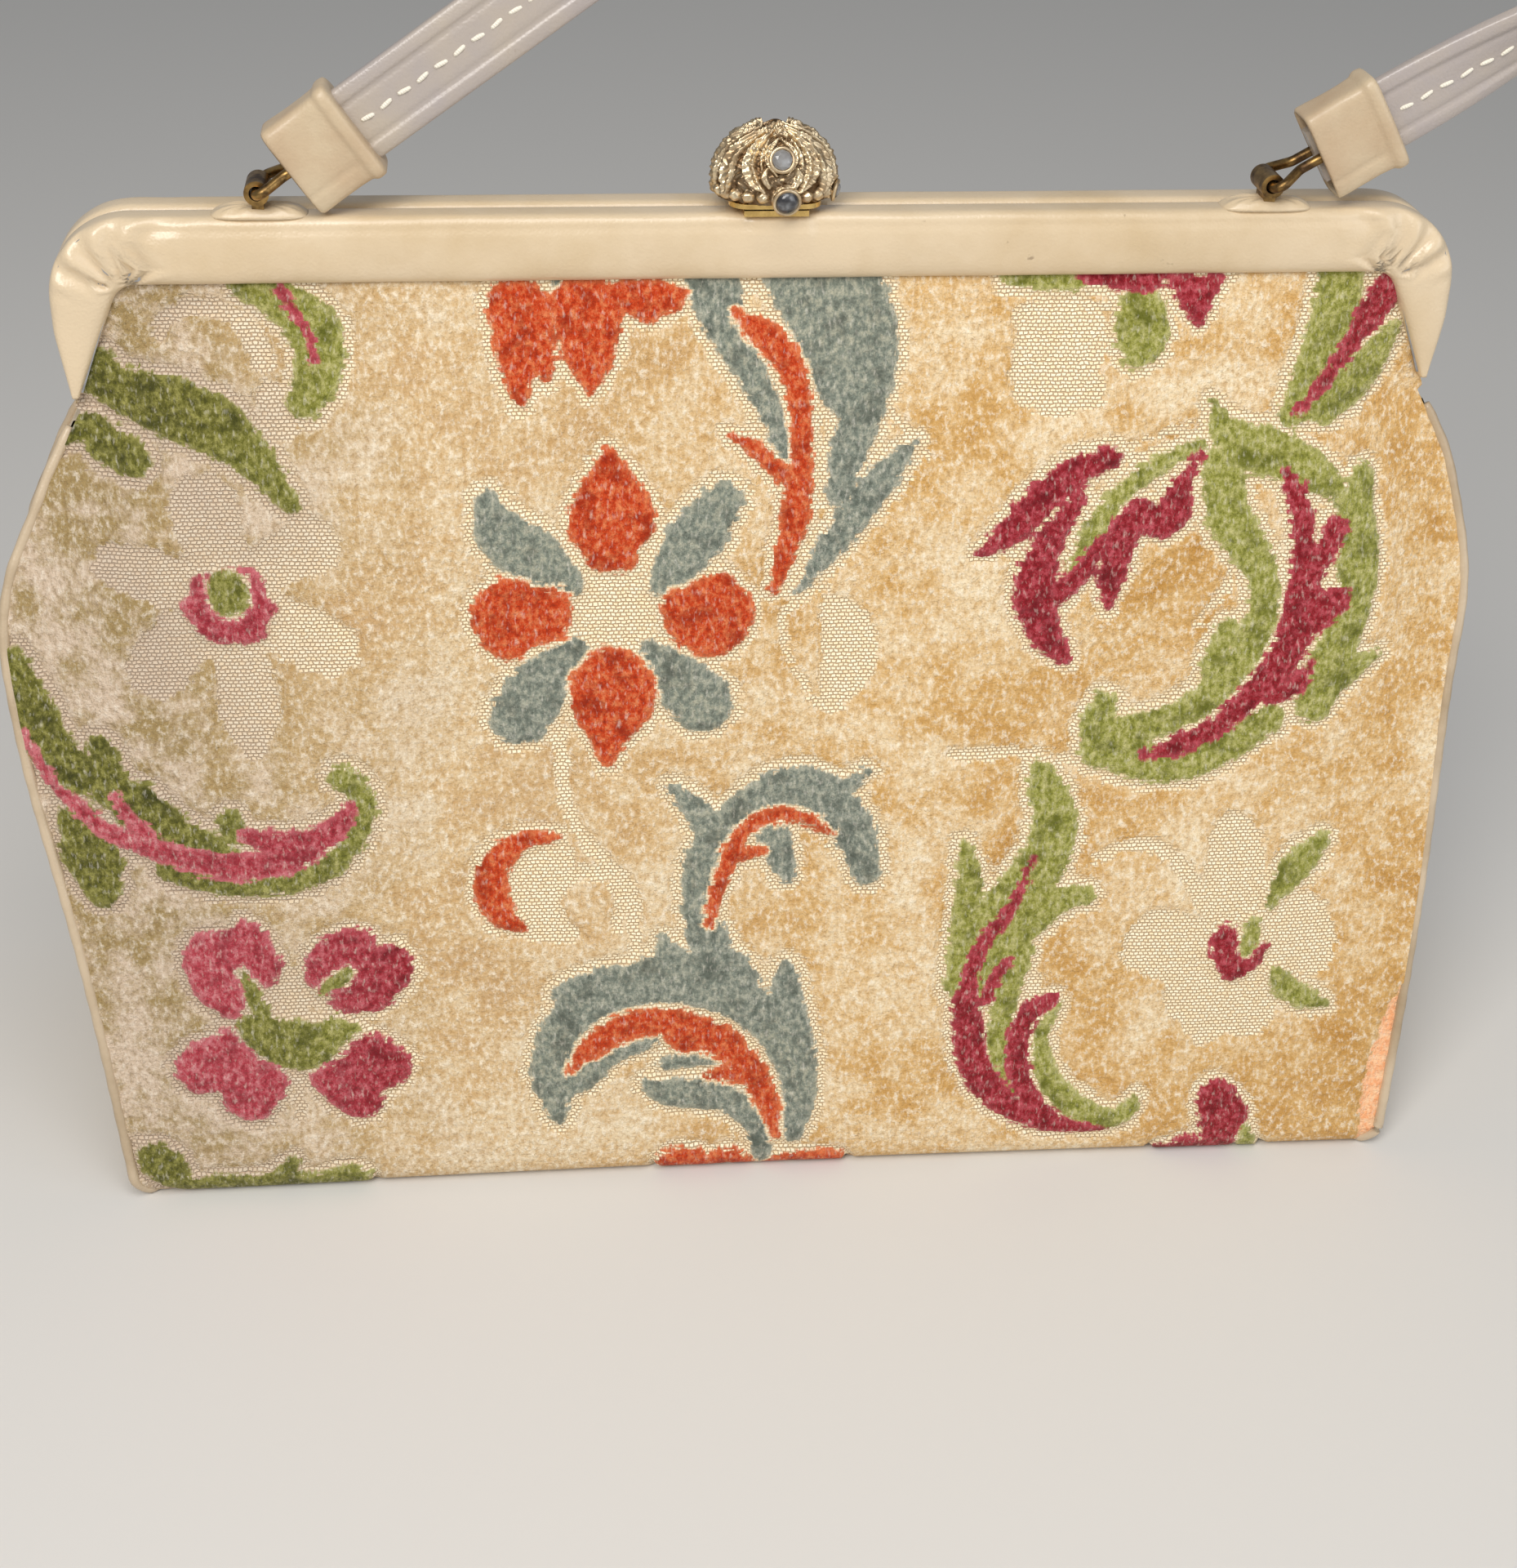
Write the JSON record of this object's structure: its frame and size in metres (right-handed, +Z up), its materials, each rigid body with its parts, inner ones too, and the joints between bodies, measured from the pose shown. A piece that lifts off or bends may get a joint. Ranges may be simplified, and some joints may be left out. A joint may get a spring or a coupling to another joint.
{
  "type": "carpet bag",
  "caption": "Framed handbag in patterned carpet cloth with vinyl gussets, vinyl-covered hinged frame, cast dome clasp and a strap handle on wire bails.",
  "frame": {"origin": "under the middle of the bag, on the surface it stands on", "axes": "+Z up, the bag's front faces -Y, +X to the viewer's right"},
  "size_m": [0.345, 0.1036, 0.3618],
  "materials": {
    "carpet_cloth": "cut pile with flat woven figures",
    "vinyl": "soft gloss cream vinyl",
    "strap_vinyl": "soft gloss cream vinyl",
    "lining_cloth": "plain woven",
    "board": "matte",
    "steel": "plain",
    "antique_brass": "dark antique",
    "gilt_metal": "worn gilt",
    "clear_stone": "faceted",
    "grey_stone": "polished"
  },
  "bodies": {
    "bag": {"carpet_shell": "carpet_cloth", "gusset_left": "vinyl", "gusset_right": "vinyl", "welt_front_left": "vinyl", "welt_front_right": "vinyl", "welt_back_left": "vinyl", "welt_back_right": "vinyl", "lining": "lining_cloth", "stiffener_front": "board", "stiffener_back": "board", "base_board": "board", "inner_pocket": "lining_cloth", "hinge_rivet_left": "antique_brass", "hinge_rivet_right": "antique_brass"},
    "front_leaf": {"frame_front": "steel", "cover_front": "vinyl", "lug_left": "antique_brass", "lug_right": "antique_brass", "strike_plate": "gilt_metal"},
    "back_leaf": {"frame_back": "steel", "cover_back": "vinyl", "clasp_bracket": "gilt_metal", "clasp_pin": "gilt_metal", "clasp_spring": "steel"},
    "clasp": {"clasp_base": "gilt_metal", "clasp_dome": "gilt_metal", "stone_top": "clear_stone", "stone_front": "grey_stone", "stone_side": "clear_stone"},
    "left_bail": {"bail_left": "antique_brass"},
    "handle": {"strap": "strap_vinyl", "cap_left": "vinyl", "cap_right": "vinyl", "strap_loop_left": "vinyl", "strap_loop_right": "vinyl"},
    "right_bail": {"bail_right": "antique_brass"}
  },
  "joints": [
    {"name": "front_leaf_open", "type": "hinge", "parent": "bag", "child": "front_leaf", "pos_m": [0, 0, 0.173], "axis": [1, 0, 0], "range_deg": [0, 40], "deforming": ["carpet_shell", "lining"]},
    {"name": "back_leaf_open", "type": "hinge", "parent": "bag", "child": "back_leaf", "pos_m": [0, 0, 0.173], "axis": [-1, 0, 0], "range_deg": [0, 40], "deforming": ["carpet_shell", "lining"]},
    {"name": "clasp_lift", "type": "hinge", "parent": "back_leaf", "child": "clasp", "pos_m": [0, 0.0068, 0.2162], "axis": [-1, 0, 0], "range_deg": [0, 65], "stiffness_Nm_per_rad": 0.01, "springref_deg": -17.19},
    {"name": "left_bail_swing", "type": "hinge", "parent": "front_leaf", "child": "left_bail", "pos_m": [-0.104, -0.00435, 0.218], "axis": [0, -1, 0], "range_deg": [0, 40]},
    {"name": "handle_swing", "type": "hinge", "parent": "left_bail", "child": "handle", "pos_m": [-0.09231, -0.00435, 0.22475], "axis": [0, -1, 0], "range_deg": [-40, 0]},
    {"name": "right_bail_swing", "type": "hinge", "parent": "front_leaf", "child": "right_bail", "pos_m": [0.104, -0.00435, 0.218], "axis": [0, -1, 0], "range_deg": [0, 40]}
  ],
  "couplings": [
    {"joint": "handle_swing", "follows": "left_bail_swing", "ratio": -1},
    {"joint": "right_bail_swing", "follows": "left_bail_swing", "ratio": 1}
  ]
}
